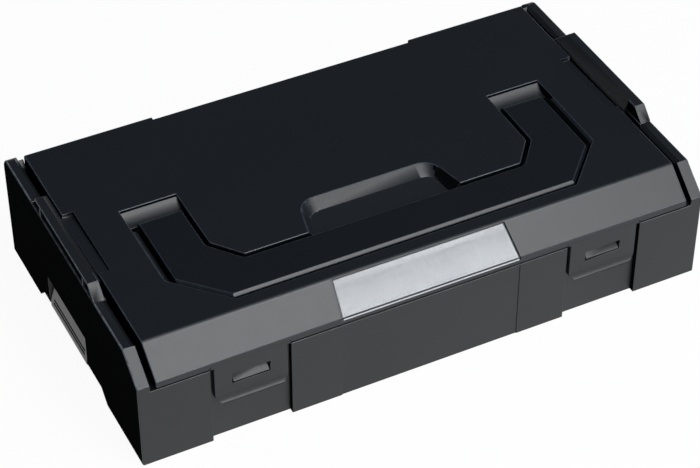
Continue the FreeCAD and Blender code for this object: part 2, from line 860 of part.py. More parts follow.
def carry_handle():
    """U-shaped handle that lies flush in the lid, with a barrel at the rear end of each arm."""
    outer = sides_moved(recess_outline(), [moat_width, handle_corner_gap, handle_front_gap,
                                           handle_corner_gap, moat_width, handle_pivot_inset])
    outer = [(x, y, handle_corner_round if y < handle_pivot_y - cut_overrun else 0) for x, y, _ in outer]
    inner = drawn_in(panel_outline(0), -handle_inner_gap)
    bar = prism_z(outer, handle_bottom, lid_top)
    core = prism_z(inner, handle_bottom - cut_overrun, lid_top + cut_overrun)
    bar = without(bar, [core])
    rims = [edge for edge in edges_at(bar, "Z", lid_top) if edge.BoundBox.YMin < handle_pivot_y - edge_round]
    bar = bar.makeFillet(handle_edge_round, rims)
    barrel = rod_x(arm_inner, handle_half, handle_pivot_y, handle_pivot_height, handle_barrel_radius)
    bar = fused([bar] + both_sides(barrel))
    bar_rear = panel_front - handle_inner_gap
    undercut = sharp([
        (bar_rear + cut_overrun, handle_bottom - cut_overrun),
        (bar_rear + cut_overrun, handle_bottom + handle_undercut_height),
        (bar_rear, handle_bottom + handle_undercut_height),
        (bar_rear - handle_undercut_depth, handle_bottom),
        (bar_rear - handle_undercut_depth, handle_bottom - cut_overrun),
    ])
    bore = rod_x(handle_half - handle_pin_in_arm, handle_half + cut_overrun, handle_pivot_y,
                 handle_pivot_height, handle_pin_radius + running_clearance)
    cuts = [
        top_bevel(outer[1], outer[2], handle_corner_bevel),
        top_bevel(outer[2], outer[3], handle_bevel),
        top_bevel(outer[3], outer[4], handle_corner_bevel),
        prism_x(undercut, -handle_undercut_half, handle_undercut_half),
    ]
    return without(bar, cuts + both_sides(bore))


def handle_pin():
    """Right-hand pin that the handle turns on, held in the lid."""
    start = handle_half - handle_pin_in_arm
    end = recess_half + handle_pin_in_lid
    return rod_x(start, end, handle_pivot_y, handle_pivot_height, handle_pin_radius)


def latch():
    """Right-hand latch tongue with a rounded root, a window for the catch and a flared lip."""
    round_top = latch_axis_height + latch_thickness / 2
    flare_top = latch_bottom + latch_flare_height
    side = [
        (latch_inner_face, latch_bottom, 0),
        (latch_inner_face, round_top, latch_thickness / 2),
        (front, round_top, latch_thickness / 2),
        (front, flare_top, latch_flare_round),
        (front - latch_flare, latch_bottom + latch_flare_lip, 0),
        (front - latch_flare, latch_bottom, 0),
    ]
    root_left = latch_recess_inner + latch_root_play
    root_right = latch_recess_outer - latch_root_play
    left = latch_recess_inner + latch_slot
    right = latch_recess_outer - latch_slot
    face = [
        (left, latch_bottom, latch_corner_round),
        (right, latch_bottom, latch_corner_round),
        (right, latch_root_bottom, 0),
        (root_right, latch_root_bottom, 0),
        (root_right, round_top + cut_overrun, 0),
        (root_left, round_top + cut_overrun, 0),
        (root_left, latch_root_bottom, 0),
        (left, latch_root_bottom, 0),
    ]
    deep = latch_inner_face + cut_overrun
    tongue = prism_x(side, root_left, root_right)
    tongue = tongue.common(prism_y(face, front - latch_flare - cut_overrun, deep))
    half = latch_window_width / 2
    window = block(latch_middle - half, latch_middle + half,
                   front - cut_overrun, deep, latch_window_low, latch_window_low + latch_window_height)
    return without(tongue, [window])


def label_card():
    """Card that lies in the label recess."""
    bottom = -label_recess_depth
    return chamfer_plate(label_card_margin, label_top - label_play, bottom,
                         bottom + label_card_thickness, label_card_side)


def label_window():
    """Clear cover over the card, folded down over the edge of the lid's lip."""
    return label_layer(label_sink, label_sink + label_window_thickness, label_play)


def hinge_pin():
    """Right-hand pin of the lid's hinge."""
    return rod_x(hinge_inner, hinge_outer, hinge_axis_y, hinge_axis_height, hinge_pin_radius)


def stack_clip():
    """Right-hand stacking clip: a leaning plate with a barrel on top and a hook below."""
    lip_top_height = clip_bottom + clip_lip_height
    side = sharp([
        (half_width - clip_thickness - clip_hook_reach, clip_bottom),
        (half_width, clip_bottom),
        (half_width, lip_top_height),
        (clip_pivot + clip_barrel_radius, clip_pivot_height),
        (clip_pivot - clip_barrel_radius + clip_thickness / 2, clip_pivot_height),
        (half_width - clip_thickness, lip_top_height + clip_hook_reach),
        (half_width - clip_thickness - clip_hook_reach, lip_top_height),
    ])
    plate = prism_y(side, clip_front, clip_rear)
    barrel = rod_y(clip_front, clip_rear, clip_pivot, clip_pivot_height, clip_barrel_radius)
    lean = (half_width - clip_pivot - clip_barrel_radius) / (clip_pivot_height - lip_top_height)
    grooves = []
    groove_low = lip_top_height + clip_groove_height
    for height in (groove_low, groove_low + clip_groove_pitch):
        surface = half_width - lean * (height - lip_top_height)
        grooves.append(block(surface - clip_groove_depth, half_width + cut_overrun,
                             clip_front + clip_corner_cut, clip_rear - clip_corner_cut,
                             height, height + clip_groove_width))
    corners = []
    for y, inward in ((clip_front, 1), (clip_rear, -1)):
        top = clip_pivot_height + clip_barrel_radius
        points = [vec(clip_pivot + clip_barrel_radius / 2, y, top),
                  vec(clip_pivot + clip_barrel_radius / 2, y + inward * clip_corner_cut, top),
                  vec(clip_pivot + clip_barrel_radius / 2, y, top - clip_corner_cut)]
        triangle = Part.Face(Part.makePolygon(points + points[:1]))
        corners.append(triangle.extrude(vec(half_width - clip_pivot, 0, 0)))
    bore = rod_y(clip_front - cut_overrun, clip_rear + cut_overrun, clip_pivot, clip_pivot_height,
                 clip_pin_radius + running_clearance)
    return without(fused([plate, barrel]), grooves + corners + [bore])


def clip_pin():
    """Right-hand pin that the stacking clip turns on."""
    hold = clip_end_play + clip_pin_hold
    return rod_y(clip_front - hold, clip_rear + hold, clip_pivot, clip_pivot_height, clip_pin_radius)


def storage_bin(column, row, columns):
    """Loose open bin that fills some columns of one row of the tray."""
    span_x = 2 * (cavity_half - bin_play)
    low_y = cavity_front + bin_play
    span_y = rear_flange_front - bin_play - low_y
    pitch_x = span_x / bin_columns
    pitch_y = span_y / bin_rows
    x0 = column * pitch_x - span_x / 2 + bin_spacing / 2
    x1 = (column + columns) * pitch_x - span_x / 2 - bin_spacing / 2
    y0 = low_y + row * pitch_y + bin_spacing / 2
    y1 = low_y + (row + 1) * pitch_y - bin_spacing / 2
    plan = [(x, y, bin_corner_round) for x, y in ((x0, y0), (x1, y0), (x1, y1), (x0, y1))]
    top = parting_height - bin_top_gap
    outer = prism_z(plan, floor_thickness, top)
    inner = prism_z(drawn_in(plan, bin_wall), floor_thickness + bin_floor, top + cut_overrun)
    foot_round = (bin_corner_round - bin_wall) * bin_foot_share
    inner = inner.makeFillet(foot_round, edges_at(inner, "Z", floor_thickness + bin_floor))
    return without(outer, [inner])


def pieces():
    """Every piece of the box by name."""
    named = {
        "base_tray": base_tray(),
        "lid": lid(),
        "carry_handle": carry_handle(),
        "label_card": label_card(),
        "label_window": label_window(),
    }
    pairs = {
        "latch": latch(),
        "handle_pin": handle_pin(),
        "hinge_pin": hinge_pin(),
        "stack_clip": stack_clip(),
        "clip_pin": clip_pin(),
    }
    for name, shape in pairs.items():
        named[name + "_right"] = shape
        named[name + "_left"] = mirrored(shape)
    for column in range(bin_columns):
        named["small_bin_" + str(column + 1)] = storage_bin(column, 0, 1)
    named["medium_bin_left"] = storage_bin(0, 1, bin_columns / 2)
    named["medium_bin_right"] = storage_bin(bin_columns / 2, 1, bin_columns / 2)
    named["long_bin"] = storage_bin(0, bin_rows - 1, bin_columns)
    return named


os.makedirs("parts", exist_ok=True)
for piece_name, piece in pieces().items():
    piece.exportStep("parts/" + piece_name + ".step")
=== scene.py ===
"""Looks of a lidded compartment box: rounded moulded shells, finishes, moulded detail and studio."""

import logging
import math
from collections.abc import Callable
from dataclasses import dataclass
from enum import Enum
from typing import Any

import bmesh
import bpy
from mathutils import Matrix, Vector


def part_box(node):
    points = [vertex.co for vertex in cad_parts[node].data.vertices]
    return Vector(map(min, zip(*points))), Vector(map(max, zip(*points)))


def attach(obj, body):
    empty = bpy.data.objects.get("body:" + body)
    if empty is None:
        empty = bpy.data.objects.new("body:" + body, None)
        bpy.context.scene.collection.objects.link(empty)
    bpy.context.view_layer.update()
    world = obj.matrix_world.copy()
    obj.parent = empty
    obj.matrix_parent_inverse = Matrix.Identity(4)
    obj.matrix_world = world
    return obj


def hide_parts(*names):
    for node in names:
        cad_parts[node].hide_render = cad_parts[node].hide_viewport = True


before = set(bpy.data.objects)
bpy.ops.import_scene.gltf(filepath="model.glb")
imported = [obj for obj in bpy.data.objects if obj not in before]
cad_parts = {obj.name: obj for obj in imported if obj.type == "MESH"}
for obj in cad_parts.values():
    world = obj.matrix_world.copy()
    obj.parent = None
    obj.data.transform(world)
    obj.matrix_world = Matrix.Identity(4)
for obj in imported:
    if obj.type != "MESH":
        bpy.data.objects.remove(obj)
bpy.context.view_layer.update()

LOG = logging.getLogger("compartment_box")
MM = 0.001
HIGHLIGHT_AND_WEAR_ATTRIBUTE = "highlight_and_wear"
# Gain of painted highlight on rounded edges whose normal faces up.
UPWARD_HIGHLIGHT_GAIN = 1.6
NARROW = 0.36 * MM
Colour = tuple[float, float, float]
Triple = tuple[float, float, float]
Picker = Callable[[Vector, Vector], bool]


class NodeBuilder:
    """A node tree whose nodes are added and linked in plain calls."""

    def __init__(self, tree: bpy.types.NodeTree) -> None:
        """Empties the tree.

        Args:
            tree: The node tree to fill.
        """
        self.tree = tree
        tree.nodes.clear()

    def add(self, kind: str, settings: dict[str, Any] | None = None,
            inputs: dict[str | int, Any] | None = None) -> bpy.types.Node:
        """Adds one node.

        Args:
            kind: Blender's type name of the node.
            settings: Properties to set on the node.
            inputs: Values or output sockets for the node's inputs, by name or number.

        Returns:
            The new node.
        """
        node = self.tree.nodes.new(kind)
        for key, value in (settings or {}).items():
            setattr(node, key, value)
        for key, value in (inputs or {}).items():
            if isinstance(value, bpy.types.NodeSocket):
                self.tree.links.new(value, node.inputs[key])
            else:
                node.inputs[key].default_value = value
        return node


class Wiring(NodeBuilder):
    """Shader nodes of one material or world."""

    def places(self) -> bpy.types.NodeSocket:
        """Gives the object's own coordinates.

        Returns:
            The coordinate socket.
        """
        return self.add("ShaderNodeTexCoord").outputs["Object"]

    def noise(self, where: bpy.types.NodeSocket, feature: float, detail: float,
              rough: float = 0.5) -> bpy.types.NodeSocket:
        """Noise whose blotches measure about one feature.

        Args:
            where: Coordinates in metres.
            feature: Size of a blotch in metres.
            detail: Finer layers added.
            rough: Strength of the finer layers.

        Returns:
            The factor socket.
        """
        inputs = {"Vector": where, "Scale": 1.0 / feature, "Detail": detail, "Roughness": rough}
        return self.add("ShaderNodeTexNoise", None, inputs).outputs["Fac"]

    def spread(self, value: bpy.types.NodeSocket, low: float, high: float,
               start: float = 0.3, end: float = 0.7) -> bpy.types.NodeSocket:
        """Maps a factor between two levels.

        Args:
            value: The factor.
            low: Level at the start.
            high: Level at the end.
            start: Factor that gives the low level.
            end: Factor that gives the high level.

        Returns:
            The mapped socket.
        """
        inputs = {"Value": value, "From Min": start, "From Max": end, "To Min": low, "To Max": high}
        return self.add("ShaderNodeMapRange", None, inputs).outputs["Result"]

    def blend(self, share: bpy.types.NodeSocket, low: Any, high: Any) -> bpy.types.NodeSocket:
        """Mixes two colours.

        Args:
            share: Share of the second colour.
            low: First colour or socket.
            high: Second colour or socket.

        Returns:
            The mixed colour socket.
        """
        node = self.add("ShaderNodeMix", {"data_type": "RGBA"}, {0: share, 6: low, 7: high})
        return node.outputs[2]

    def bump(self, height: bpy.types.NodeSocket, depth: float, strength: float) -> bpy.types.NodeSocket:
        """Turns a height into a surface normal.

        Args:
            height: Height factor.
            depth: Depth of the full factor in metres.
            strength: Share of the effect.

        Returns:
            The normal socket.
        """
        inputs = {"Height": height, "Distance": depth, "Strength": strength}
        return self.add("ShaderNodeBump", None, inputs).outputs["Normal"]

    def finish(self, shader: bpy.types.Node, kind: str = "ShaderNodeOutputMaterial") -> None:
        """Links a shader to the tree's output.

        Args:
            shader: The last shader node.
            kind: Blender's type name of the output node.
        """
        self.add(kind, None, {"Surface": shader.outputs[0]})


def new_material(name: str) -> tuple[bpy.types.Material, Wiring]:
    """Starts a node material.

    Args:
        name: Name of the material.

    Returns:
        The material and its empty wiring.
    """
    material = bpy.data.materials.new(name)
    material.use_nodes = True
    return material, Wiring(material.node_tree)


def opaque(colour: Colour, share: float = 1.0) -> tuple[float, float, float, float]:
    """Gives a colour full cover and brightens or darkens it.

    Args:
        colour: The colour.
        share: Factor on its brightness.

    Returns:
        The colour with its cover.
    """
    return (colour[0] * share, colour[1] * share, colour[2] * share, 1.0)


class Grain(Enum):
    """Texture left by the mould: blotch size and depth in millimetres."""

    SATIN = (0.55, 0.010)
    SPARK = (0.75, 0.022)
    FINE = (0.40, 0.006)
    POLISHED = (1.60, 0.002)


@dataclass(frozen=True)
class MouldedPlastic:
    """Moulded plastic with a mould grain, slow mottling and paler edges, partly wear and partly a painted highlight
    that is strongest where an edge faces up.
    """

    name: str
    colour: Colour
    roughness: float
    grain: Grain
    specular: float = 0.5
    mottle: float = 0.08
    roughness_spread: float = 0.015
    # Edge colour gain: partly wear, partly a painted highlight along rounded edges.
    highlight_and_wear_gain: float = 2.2
    rubbed_roughness: float = 0.30
    cloud_size: float = 45.0 * MM
    patch_size: float = 3.0 * MM

    def material(self) -> bpy.types.Material:
        """Builds the material.

        Returns:
            The node material.
        """
        material, wiring = new_material(self.name)
        where = wiring.places()
        cloud = wiring.noise(where, self.cloud_size, 3.0)
        tone = wiring.blend(wiring.spread(cloud, 0.0, 1.0), opaque(self.colour, 1.0 - self.mottle),
                            opaque(self.colour, 1.0 + self.mottle))
        patchy = wiring.noise(where, self.patch_size, 4.0, 0.6)
        # Paler edge colour: partly wear, partly painted highlight, strongest on edges that face up.
        highlight_and_wear = wiring.add("ShaderNodeAttribute", {"attribute_name": HIGHLIGHT_AND_WEAR_ATTRIBUTE}).outputs["Fac"]
        highlight_and_wear_mask = wiring.add("ShaderNodeMath", {"operation": "MULTIPLY"},
                          {0: highlight_and_wear, 1: wiring.spread(patchy, 0.35, 1.0)}).outputs[0]
        colour = wiring.blend(highlight_and_wear_mask, tone, opaque(self.colour, self.highlight_and_wear_gain))
        satin = wiring.spread(patchy, self.roughness - self.roughness_spread,
                              self.roughness + self.roughness_spread)
        gloss = wiring.spread(highlight_and_wear_mask, satin, self.rubbed_roughness, 0.0, 1.0)
        size, depth = self.grain.value
        grain = wiring.noise(where, size * MM, 2.0, 0.55)
        inputs = {"Base Color": colour, "Roughness": gloss, "Specular IOR Level": self.specular,
                  "Normal": wiring.bump(grain, depth * MM, 1.0)}
        wiring.finish(wiring.add("ShaderNodeBsdfPrincipled", None, inputs))
        return material


@dataclass(frozen=True)
class SilverCard:
    """Silver-white label card with a painted cloudy sheen in its colour and a faint lengthwise paper grain."""

    name: str
    pale: Colour
    dull: Colour
    cloud_size: float = 16.0 * MM
    fibre_size: float = 0.5 * MM
    fibre_depth: float = 0.004 * MM

    def material(self) -> bpy.types.Material:
        """Builds the material.

        Returns:
            The node material.
        """
        material, wiring = new_material(self.name)
        where = wiring.places()
        stretched = wiring.add("ShaderNodeMapping", None,
                               {"Vector": where, "Scale": (0.35, 1.0, 1.0)}).outputs["Vector"]
        cloud = wiring.noise(stretched, self.cloud_size, 3.0, 0.55)
        # Pale and dull clouds in the card's colour: painted sheen.
        colour = wiring.blend(wiring.spread(cloud, 0.0, 1.0), opaque(self.dull), opaque(self.pale))
        fibre = wiring.noise(where, self.fibre_size, 3.0, 0.6)
        inputs = {"Base Color": colour, "Metallic": 0.25, "Roughness": wiring.spread(cloud, 0.42, 0.6),
                  "Normal": wiring.bump(fibre, self.fibre_depth, 1.0)}
        wiring.finish(wiring.add("ShaderNodeBsdfPrincipled", None, inputs))
        return material


@dataclass(frozen=True)
class ClearWindow:
    """Thin clear plastic over the label, slightly hazed by handling."""

    name: str
    cover: float
    colour: Colour = (0.62, 0.64, 0.67)
    haze_size: float = 11.0 * MM
    wave_size: float = 20.0 * MM
    wave_depth: float = 0.08 * MM

    def material(self) -> bpy.types.Material:
        """Builds the material.

        Returns:
            The node material.
        """
        material, wiring = new_material(self.name)
        where = wiring.places()
        haze = wiring.noise(where, self.haze_size, 4.0, 0.6)
        wave = wiring.noise(where, self.wave_size, 1.0)
        inputs = {"Base Color": opaque(self.colour), "Roughness": wiring.spread(haze, 0.14, 0.3),
                  "Alpha": wiring.spread(haze, self.cover * 0.6, self.cover * 1.5),
                  "Normal": wiring.bump(wave, self.wave_depth, 1.0)}
        wiring.finish(wiring.add("ShaderNodeBsdfPrincipled", None, inputs))
        return material


@dataclass(frozen=True)
class PinMetal:
    """Drawn steel pin, bare or black, with fine rings along its length; the black one, without reflection, also
    stands as painted shade in its slot.
    """

    name: str
    colour: Colour
    metallic: float
    roughness: float
    specular: float = 0.5
    ring_size: float = 0.4 * MM
    ring_depth: float = 0.006 * MM

    def material(self) -> bpy.types.Material:
        """Builds the material.

        Returns:
            The node material.
        """
        material, wiring = new_material(self.name)
        where = wiring.places()
        drawn = wiring.add("ShaderNodeMapping", None,
                           {"Vector": where, "Scale": (1.0, 0.08, 0.08)}).outputs["Vector"]
        rings = wiring.noise(drawn, self.ring_size, 2.0)
        tone = wiring.blend(wiring.spread(rings, 0.0, 1.0), opaque(self.colour, 0.8), opaque(self.colour, 1.15))
        inputs = {"Base Color": tone, "Metallic": self.metallic, "Specular IOR Level": self.specular,
                  "Roughness": wiring.spread(rings, self.roughness - 0.06, self.roughness + 0.08),
                  "Normal": wiring.bump(rings, self.ring_depth, 1.0)}
        wiring.finish(wiring.add("ShaderNodeBsdfPrincipled", None, inputs))
        return material


@dataclass(frozen=True)
class EdgeRounding:
    """Small radius on the outward edges of a moulded shell.

    An edge that turns by more than least_angle degrees is sharp. An outward edge that also turns by
    more than round_angle degrees is rounded.
    """

    width: float
    segments: int = 2
    least_angle: float = 28.0
    round_angle: float = 28.0

    def merged(self, node: str) -> bpy.types.Mesh:
        """Merges a node's triangles into flat faces and marks the edges to round.

        Args:
            node: Name of the CAD node.

        Returns:
            The marked mesh.
        """
        work = bmesh.new()
        work.from_mesh(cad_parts[node].data)
        bmesh.ops.remove_doubles(work, verts=work.verts, dist=0.001 * MM)
        bmesh.ops.dissolve_limit(work, angle_limit=math.radians(0.5), verts=work.verts, edges=work.edges)
        weight = work.edges.layers.float.new("bevel_weight_edge")
        for edge in work.edges:
            angle = math.degrees(edge.calc_face_angle(0.0))
            rounded = edge.is_convex and angle > max(self.least_angle, self.round_angle)
            edge.smooth = rounded or angle <= self.least_angle
            if rounded:
                edge[weight] = 1.0
        for face in work.faces:
            face.smooth = True
        mesh = bpy.data.meshes.new(node + "_merged")
        work.to_mesh(mesh)
        work.free()
        return mesh

    def shell(self, node: str, name: str, material: bpy.types.Material,
              matt: bpy.types.Material | None = None, picks: Picker | None = None) -> bpy.types.Object:
        """Makes the rounded copy of a node.

        Args:
            node: Name of the CAD node.
            name: Name of the new piece.
            material: Its finish.
            matt: Finish of some of the faces, if it differs; the tray and the lid give a darker finish there as
                painted shade, and on the tray's rail edges as painted highlight.
            picks: Whether a face, by its middle and its normal, takes the second finish.

        Returns:
            The new piece.
        """
        rough = bpy.data.objects.new(name + "_rough", self.merged(node))
        bpy.context.scene.collection.objects.link(rough)
        rough.data.materials.append(material)
        rough.data.materials.append(material)
        bevel = rough.modifiers.new("edges", "BEVEL")
        bevel.limit_method = "WEIGHT"
        bevel.offset_type = "OFFSET"
        bevel.width = self.width
        bevel.segments = self.segments
        bevel.use_clamp_overlap = False
        bevel.material = 1
        weighted = rough.modifiers.new("flats", "WEIGHTED_NORMAL")
        weighted.keep_sharp = True
        mesh = baked(rough, name)
        mark_highlight_and_wear(mesh)
        if matt:
            mesh.materials.append(matt)
            for face in mesh.polygons:
                face.material_index = int(picks(face.center, face.normal))
        piece = bpy.data.objects.new(name, mesh)
        bpy.context.scene.collection.objects.link(piece)
        return piece


def baked(source: bpy.types.Object, name: str) -> bpy.types.Mesh:
    """Turns an object with live modifiers into a plain mesh and removes the object.

    Args:
        source: The object to evaluate.
        name: Name of the mesh.

    Returns:
        The plain mesh.
    """
    graph = bpy.context.evaluated_depsgraph_get()
    mesh = bpy.data.meshes.new_from_object(source.evaluated_get(graph), preserve_all_data_layers=True,
                                           depsgraph=graph)
    mesh.name = name
    bpy.data.objects.remove(source)
    return mesh


def mark_highlight_and_wear(mesh: bpy.types.Mesh) -> None:
    """Writes each point's share of the paler edge colour, partly wear and partly painted highlight: full along a
    rounded edge that looks up, none on the flats.

    Args:
        mesh: Mesh whose rounded faces have material index 1 or are narrow strips.
    """
    # Painted highlight: the more an edge's normal faces up, the paler it is painted.
    highlight_and_wear_shares = [min(1.0, max(0.0, point.normal.z * UPWARD_HIGHLIGHT_GAIN)) for point in mesh.vertices]
    for face in mesh.polygons:
        ring = [mesh.vertices[index].co for index in face.vertices]
        longest = max((here - ring[number - 1]).length for number, here in enumerate(ring))
        if face.material_index == 0 and face.area > longest * NARROW:
            for index in face.vertices:
                highlight_and_wear_shares[index] = 0.0
    attribute = mesh.attributes.new(HIGHLIGHT_AND_WEAR_ATTRIBUTE, "FLOAT", "POINT")
    attribute.data.foreach_set("value", highlight_and_wear_shares)
    mesh.polygons.foreach_set("material_index", [0] * len(mesh.polygons))
    mesh.materials.pop(index=1)


def stand_in(piece: bpy.types.Object, node: str, body: str) -> None:
    """Puts a piece in the place of a CAD node.

    Args:
        piece: The new piece.
        node: The node it stands for.
        body: The body it rides on.
    """
    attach(piece, body)
    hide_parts(node)
    LOG.info("%s stands for %s on %s, %d faces", piece.name, node, body, len(piece.data.polygons))


def dress_node(node: str, material: bpy.types.Material) -> None:
    """Gives a CAD node its finish.

    Args:
        node: Name of the node.
        material: Its finish.
    """
    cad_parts[node].material_slots[0].material = material
    LOG.info("%s dressed in %s", node, material.name)


class MouldTree(NodeBuilder):
    """A Geometry Nodes tree with named inputs, ending in real faces with a material."""

    SOCKETS = {int: "NodeSocketInt", float: "NodeSocketFloat", tuple: "NodeSocketVector"}

    def __init__(self, name: str, values: dict[str, Any]) -> None:
        """Starts the tree.

        Args:
            name: Name of the tree.
            values: Default value of each named input.
        """
        super().__init__(bpy.data.node_groups.new(name, "GeometryNodeTree"))
        self.name = name
        self.values = values
        self.sockets = {}
        for key, value in values.items():
            socket = self.tree.interface.new_socket(key, in_out="INPUT", socket_type=self.SOCKETS[type(value)])
            self.sockets[key] = socket.identifier
        finish = self.tree.interface.new_socket("Finish", in_out="INPUT", socket_type="NodeSocketMaterial")
        self.sockets["Finish"] = finish.identifier
        self.tree.interface.new_socket("Geometry", in_out="OUTPUT", socket_type="NodeSocketGeometry")
        self.inputs = self.tree.nodes.new("NodeGroupInput").outputs

    def close(self, points: bpy.types.NodeSocket, shape: bpy.types.NodeSocket) -> None:
        """Sets the shape on each point and ends the tree.

        Args:
            points: Geometry whose points carry the shape.
            shape: Geometry of one copy.
        """
        copies = self.add("GeometryNodeInstanceOnPoints", None, {"Points": points, "Instance": shape})
        real = self.add("GeometryNodeRealizeInstances", None, {"Geometry": copies.outputs["Instances"]})
        finished = self.add("GeometryNodeSetMaterial", None, {"Geometry": real.outputs["Geometry"],
                                                             "Material": self.inputs["Finish"]})
        self.add("NodeGroupOutput", None, {"Geometry": finished.outputs["Geometry"]})

    def grow(self, name: str, material: bpy.types.Material, **values: Any) -> bpy.types.Mesh:
        """Runs the tree once.

        Args:
            name: Name of the mesh.
            material: Finish of every copy.
            **values: Inputs that differ from their defaults, with underscores for spaces.

        Returns:
            The plain mesh.
        """
        holder = bpy.data.objects.new(name + "_holder", bpy.data.meshes.new(name + "_seed"))
        modifier = holder.modifiers.new(self.name, "NODES")
        modifier.node_group = self.tree
        for key, value in self.values.items():
            modifier[self.sockets[key]] = values.get(key.replace(" ", "_"), value)
        modifier[self.sockets["Finish"]] = material
        bpy.context.scene.collection.objects.link(holder)
        return baked(holder, name)


class RibRow(MouldTree):
    """A row of straight ribs that hang from a surface and grow thinner away from it."""

    def __init__(self) -> None:
        """Builds the tree."""
        super().__init__("rib_row", {"Count": 6, "First": (0.0, 0.0, 0.0), "Step": (0.01, 0.0, 0.0),
                                     "Size": (0.001, 0.04, 0.004), "Taper": (0.3, 0.0, 0.0)})
        line = self.add("GeometryNodeMeshLine", None, {"Count": self.inputs["Count"],
                                                       "Start Location": self.inputs["First"],
                                                       "Offset": self.inputs["Step"]})
        rib = self.add("GeometryNodeMeshCube", None, {"Size": self.inputs["Size"]})
        place = self.add("GeometryNodeInputPosition").outputs["Position"]
        height = self.add("ShaderNodeSeparateXYZ", None, {0: self.inputs["Size"]}).outputs["Z"]
        level = self.add("ShaderNodeSeparateXYZ", None, {0: place}).outputs["Z"]
        share = self.add("ShaderNodeMath", {"operation": "DIVIDE"}, {0: level, 1: height}).outputs[0]
        away = self.add("ShaderNodeMath", {"operation": "SUBTRACT"}, {0: 0.5, 1: share}).outputs[0]
        loss = self.add("ShaderNodeVectorMath", {"operation": "SCALE"},
                        {0: self.inputs["Taper"], "Scale": away}).outputs[0]
        keep = self.add("ShaderNodeVectorMath", {"operation": "SUBTRACT"},
                        {0: (1.0, 1.0, 1.0), 1: loss}).outputs[0]
        narrow = self.add("ShaderNodeVectorMath", {"operation": "MULTIPLY"}, {0: place, 1: keep}).outputs[0]
        shaped = self.add("GeometryNodeSetPosition", None, {"Geometry": rib.outputs["Mesh"], "Position": narrow})
        self.close(line.outputs["Mesh"], shaped.outputs["Geometry"])


class PinMarks(MouldTree):
    """A grid of low round marks, as the pins that push a moulding out of its tool leave."""

    def __init__(self) -> None:
        """Builds the tree."""
        super().__init__("pin_marks", {"Columns": 2, "Rows": 2, "Middle": (0.0, 0.0, 0.0), "Span X": 0.03,
                                       "Span Y": 0.03, "Radius": 0.0022, "Rise": 0.00012})
        grid = self.add("GeometryNodeMeshGrid", None,
                        {"Size X": self.inputs["Span X"], "Size Y": self.inputs["Span Y"],
                         "Vertices X": self.inputs["Columns"], "Vertices Y": self.inputs["Rows"]})
        placed = self.add("GeometryNodeTransform", None, {"Geometry": grid.outputs["Mesh"],
                                                          "Translation": self.inputs["Middle"]})
        disc = self.add("GeometryNodeMeshCylinder", None, {"Vertices": 28, "Radius": self.inputs["Radius"],
                                                           "Depth": self.inputs["Rise"]})
        self.close(placed.outputs["Geometry"], disc.outputs["Mesh"])


def add_grown(mesh: bpy.types.Mesh, body: str) -> bpy.types.Object:
    """Puts a grown mesh into the scene on a body.

    Args:
        mesh: The plain mesh.
        body: The body it rides on.

    Returns:
        The new piece.
    """
    piece = bpy.data.objects.new(mesh.name, mesh)
    bpy.context.scene.collection.objects.link(piece)
    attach(piece, body)
    LOG.info("%s rides on %s, %d faces", piece.name, body, len(mesh.polygons))
    return piece


@dataclass
class Tray:
    """Base tray with its rails, and the pins that it holds."""

    rounding: EdgeRounding = EdgeRounding(0.30 * MM, round_angle=60.0)
    plastic: MouldedPlastic = MouldedPlastic("tray_black", (0.0058, 0.0068, 0.0083), 0.41, Grain.SPARK,
                                             highlight_and_wear_gain=12.0)
    # Darker, nearly mirror-free copy of the tray plastic on faces turned sideways: painted shade; its high edge gain
    # paints a highlight on the rail edges.
    ends: MouldedPlastic = MouldedPlastic("tray_black_matt_painted_shade", (0.0023, 0.0026, 0.0029), 0.85, Grain.SPARK, 0.001,
                                          highlight_and_wear_gain=64.0)
    side_slope: float = 0.92
    edge_slope: float = 0.2
    edge_half: float = 129.3 * MM
    steel: PinMetal = PinMetal("pin_bright_steel", (0.62, 0.62, 0.61), 1.0, 0.28)
    # Black pin finish without any reflection: partly the pins' own black, partly painted shade of the slots they sit
    # in.
    black_and_painted_shade: PinMetal = PinMetal("pin_black_painted_shade", (0.0020, 0.0022, 0.0025), 0.0, 0.75, 0.0)

    def takes_shade_and_highlight_finish(self, middle: Vector, normal: Vector) -> bool:
        """Whether a face takes the darker matt finish: painted shade on the tray's ends, and a painted highlight on
        the edges round their tops.

        Args:
            middle: Middle of the face.
            normal: Normal of the face.

        Returns:
            True for a matt face.
        """
        return abs(normal.x) > self.side_slope or (abs(middle.x) > self.edge_half and normal.z > self.edge_slope)

    def build(self) -> None:
        """Makes the rounded tray and dresses its pins."""
        shell = self.rounding.shell("base_tray", "tray_shell", self.plastic.material(), self.ends.material(),
                                    self.takes_shade_and_highlight_finish)
        stand_in(shell, "base_tray", "base")
        steel, black_and_shaded = self.steel.material(), self.black_and_painted_shade.material()
        for side in ("left", "right"):
            dress_node("hinge_pin_" + side, steel)
            dress_node("clip_pin_" + side, black_and_shaded)
            dress_node("handle_pin_" + side, black_and_shaded)


